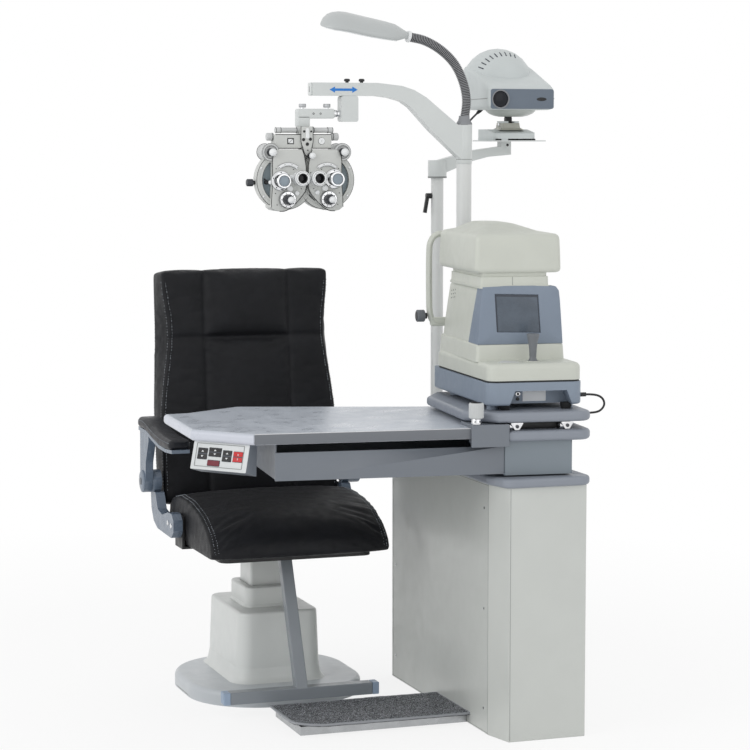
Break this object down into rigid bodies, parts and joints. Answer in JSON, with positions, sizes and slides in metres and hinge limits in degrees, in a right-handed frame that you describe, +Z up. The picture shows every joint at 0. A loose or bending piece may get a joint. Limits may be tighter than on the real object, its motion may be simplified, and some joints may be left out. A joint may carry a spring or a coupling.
{
  "type": "ophthalmic examination chair",
  "caption": "Reclining examination chair with flip-up armrests, combined with an instrument stand: swing table, autorefractor, phoropter arm, lamp and chart projector.",
  "frame": {"origin": "on the floor under the chair's lift axis", "axes": "+Z up, the seated patient faces -Y, the instrument stand is at +X on the patient's left"},
  "size_m": [1.0616, 1.0339, 1.7258],
  "materials": {
    "cream_enamel": "satin",
    "dark_steel": "satin",
    "black_leather": "soft grain",
    "grey_enamel": "satin",
    "blue_plastic": "matte",
    "cabinet_enamel": "satin",
    "bright_steel": "brushed",
    "grey_blue_plastic": "fine texture",
    "speckled_rubber": "speckled",
    "speckled_top": "speckled laminate",
    "bracket_enamel": "satin",
    "black_plastic": "matte",
    "red_plastic": "gloss",
    "blue_grey_plastic": "fine texture",
    "refractor_cream": "fine texture",
    "cable_rubber": "matte",
    "arm_enamel": "satin",
    "phoropter_grey": "satin",
    "pole_cream": "satin",
    "swing_grey": "satin",
    "pale_plastic": "matte",
    "smoked_plastic": "smooth",
    "gooseneck_steel": "ribbed",
    "lamp_enamel": "satin",
    "projector_plastic": "fine texture",
    "arm_plastic": "fine texture",
    "pad_leather": "soft grain"
  },
  "bodies": {
    "root": {"chair_base_plate": "cream_enamel", "chair_base_cover": "cream_enamel", "lift_actuator": "dark_steel", "cabinet_body": "cabinet_enamel", "cabinet_screws": "bright_steel", "cabinet_top_plate": "grey_blue_plastic", "foot_tray": "bright_steel", "foot_mat": "speckled_rubber", "main_pole": "pole_cream", "projector_post": "pole_cream"},
    "lift": {"lift_column": "cream_enamel"},
    "seat": {"seat_frame": "dark_steel", "seat_cushion": "black_leather", "footrest_frame": "grey_enamel", "footrest_caps": "blue_plastic", "armrest_base_left": "arm_plastic", "armrest_base_right": "arm_plastic"},
    "back": {"back_spar": "dark_steel", "backrest_cushion": "black_leather"},
    "arm_left": {"armrest_left": "arm_plastic", "armrest_pad_left": "pad_leather"},
    "arm_right": {"armrest_right": "arm_plastic", "armrest_pad_right": "pad_leather"},
    "table": {"swing_box": "swing_grey", "lower_platform": "grey_blue_plastic", "drawer_housing": "bracket_enamel", "tabletop": "speckled_top", "table_bracket": "bracket_enamel", "control_box": "cabinet_enamel", "platform_rollers": "bright_steel"},
    "table_lock": {"table_lock_knob": "pale_plastic"},
    "drawer": {"drawer_tray": "bracket_enamel"},
    "lift_switch": {"lift_switch": "black_plastic"},
    "lamp_switch": {"lamp_switch": "black_plastic"},
    "instrument_switch": {"instrument_switch": "black_plastic"},
    "power_switch": {"power_switch": "red_plastic"},
    "platform": {"upper_platform": "grey_blue_plastic", "refractor_base": "blue_grey_plastic", "refractor_gland": "black_plastic", "refractor_cable": "cable_rubber", "chinrest_frame": "refractor_cream"},
    "chinrest_knob": {"chinrest_knob": "smoked_plastic"},
    "refractor": {"refractor_body": "refractor_cream"},
    "refractor_head": {"refractor_head": "refractor_cream"},
    "joystick": {"joystick": "smoked_plastic"},
    "arm": {"phoropter_arm": "arm_enamel"},
    "slider": {"arm_slider": "arm_enamel"},
    "hanger": {"phoropter_hanger": "bright_steel"},
    "phoropter": {"phoropter_bridge": "bright_steel"},
    "left_half": {"phoropter_left": "phoropter_grey"},
    "right_half": {"phoropter_right": "phoropter_grey"},
    "left_dial": {"phoropter_dial_left": "bright_steel"},
    "right_dial": {"phoropter_dial_right": "bright_steel"},
    "lamp": {"lamp_gooseneck": "gooseneck_steel", "lamp_head": "lamp_enamel"},
    "projector_arm": {"projector_beam": "arm_enamel", "projector_base": "projector_plastic", "projector_cable": "cable_rubber"},
    "projector": {"projector_body": "projector_plastic"},
    "clamp_lever": {"clamp_lever": "black_plastic"}
  },
  "joints": [
    {"name": "chair_lift", "type": "slide", "parent": "root", "child": "lift", "axis": [0, 0, 1], "range_m": [0, 0.15]},
    {"name": "chair_turn", "type": "hinge", "parent": "lift", "child": "seat", "pos_m": [0, 0, 0.35], "axis": [0, 0, 1], "range_deg": [-75, 15]},
    {"name": "back_recline", "type": "hinge", "parent": "seat", "child": "back", "pos_m": [0, 0.112, 0.404], "axis": [-1, 0, 0], "range_deg": [0, 20]},
    {"name": "armrest_flip_left", "type": "hinge", "parent": "seat", "child": "arm_left", "pos_m": [0.28, 0.106, 0.527], "axis": [-1, 0, 0], "range_deg": [0, 80]},
    {"name": "armrest_flip_right", "type": "hinge", "parent": "seat", "child": "arm_right", "pos_m": [-0.28, 0.106, 0.527], "axis": [-1, 0, 0], "range_deg": [0, 80]},
    {"name": "table_swing", "type": "hinge", "parent": "root", "child": "table", "pos_m": [0.4415, -0.6195, 0.65], "axis": [0, 0, 1], "range_deg": [0, 80]},
    {"name": "table_lock", "type": "hinge", "parent": "table", "child": "table_lock", "pos_m": [0.29156, -0.75457, 0.755], "axis": [0, 0, 1], "range_deg": [-90, 90]},
    {"name": "drawer_slide", "type": "slide", "parent": "table", "child": "drawer", "axis": [-0.1045, -0.9945, 0], "range_m": [0, 0.25]},
    {"name": "lift_switch_rock", "type": "hinge", "parent": "table", "child": "lift_switch", "pos_m": [-0.31791, -0.5912, 0.68632], "axis": [0.6262, -0.7797, 0], "range_deg": [-8, 8], "stiffness_Nm_per_rad": 0.25},
    {"name": "lamp_switch_rock", "type": "hinge", "parent": "table", "child": "lamp_switch", "pos_m": [-0.2951, -0.61739, 0.69112], "axis": [0.6262, -0.7797, 0], "range_deg": [-8, 8]},
    {"name": "instrument_switch_rock", "type": "hinge", "parent": "table", "child": "instrument_switch", "pos_m": [-0.27504, -0.64528, 0.68478], "axis": [0.6262, -0.7797, 0], "range_deg": [-8, 8]},
    {"name": "power_switch_rock", "type": "hinge", "parent": "table", "child": "power_switch", "pos_m": [-0.25596, -0.66907, 0.68468], "axis": [0.6262, -0.7797, 0], "range_deg": [-8, 8]},
    {"name": "platform_slide", "type": "slide", "parent": "table", "child": "platform", "axis": [0.9945, -0.1045, 0], "range_m": [0, 0.1]},
    {"name": "refractor_traverse", "type": "slide", "parent": "platform", "child": "refractor", "axis": [0.9945, -0.1045, 0], "range_m": [-0.03, 0.03]},
    {"name": "head_lift", "type": "slide", "parent": "refractor", "child": "refractor_head", "axis": [0, 0, 1], "range_m": [0, 0.03]},
    {"name": "joystick_tilt", "type": "hinge", "parent": "refractor", "child": "joystick", "pos_m": [0.45784, -0.69361, 0.884], "axis": [0.9945, -0.1045, 0], "range_deg": [-15, 15], "stiffness_Nm_per_rad": 1},
    {"name": "chinrest_knob_turn", "type": "hinge", "parent": "platform", "child": "chinrest_knob", "pos_m": [0.33707, -0.27369, 0.965], "axis": [0.9945, -0.1045, 0], "continuous": true},
    {"name": "arm_swing", "type": "hinge", "parent": "root", "child": "arm", "pos_m": [0.467, -0.219, 1.34], "axis": [0, 0, -1], "range_deg": [-90, 30]},
    {"name": "slider_travel", "type": "slide", "parent": "arm", "child": "slider", "axis": [1, 0, 0], "range_m": [-0.065, 0.04]},
    {"name": "hanger_tilt", "type": "hinge", "parent": "slider", "child": "hanger", "pos_m": [0.137, -0.219, 1.466], "axis": [1, 0, 0], "range_deg": [-20, 20]},
    {"name": "phoropter_yaw", "type": "hinge", "parent": "hanger", "child": "phoropter", "pos_m": [0.041, -0.219, 1.42], "axis": [0, 0, 1], "range_deg": [-45, 45]},
    {"name": "pupil_left", "type": "slide", "parent": "phoropter", "child": "left_half", "axis": [1, 0, 0], "range_m": [0, 0.012]},
    {"name": "pupil_right", "type": "slide", "parent": "phoropter", "child": "right_half", "axis": [-1, 0, 0], "range_m": [0, 0.012]},
    {"name": "dial_turn_left", "type": "hinge", "parent": "left_half", "child": "left_dial", "pos_m": [0.0937, -0.26, 1.2567], "axis": [0, 1, 0], "continuous": true},
    {"name": "dial_turn_right", "type": "hinge", "parent": "right_half", "child": "right_dial", "pos_m": [-0.0117, -0.26, 1.2567], "axis": [0, 1, 0], "continuous": true},
    {"name": "lamp_swivel", "type": "hinge", "parent": "arm", "child": "lamp", "pos_m": [0.467, -0.219, 1.43], "axis": [0, 0, 1], "range_deg": [-45, 45]},
    {"name": "projector_swing", "type": "hinge", "parent": "root", "child": "projector_arm", "pos_m": [0.447, -0.081, 1.33], "axis": [0, 0, 1], "range_deg": [-5, 40]},
    {"name": "projector_tilt", "type": "hinge", "parent": "projector_arm", "child": "projector", "pos_m": [0.6305, -0.11, 1.446], "axis": [1, 0, 0], "range_deg": [-8, 8]},
    {"name": "clamp_lever_turn", "type": "hinge", "parent": "root", "child": "clamp_lever", "pos_m": [0.42, -0.081, 1.258], "axis": [-1, 0, 0], "range_deg": [0, 90]}
  ],
  "couplings": [
    {"joint": "pupil_right", "follows": "pupil_left", "ratio": 1}
  ]
}
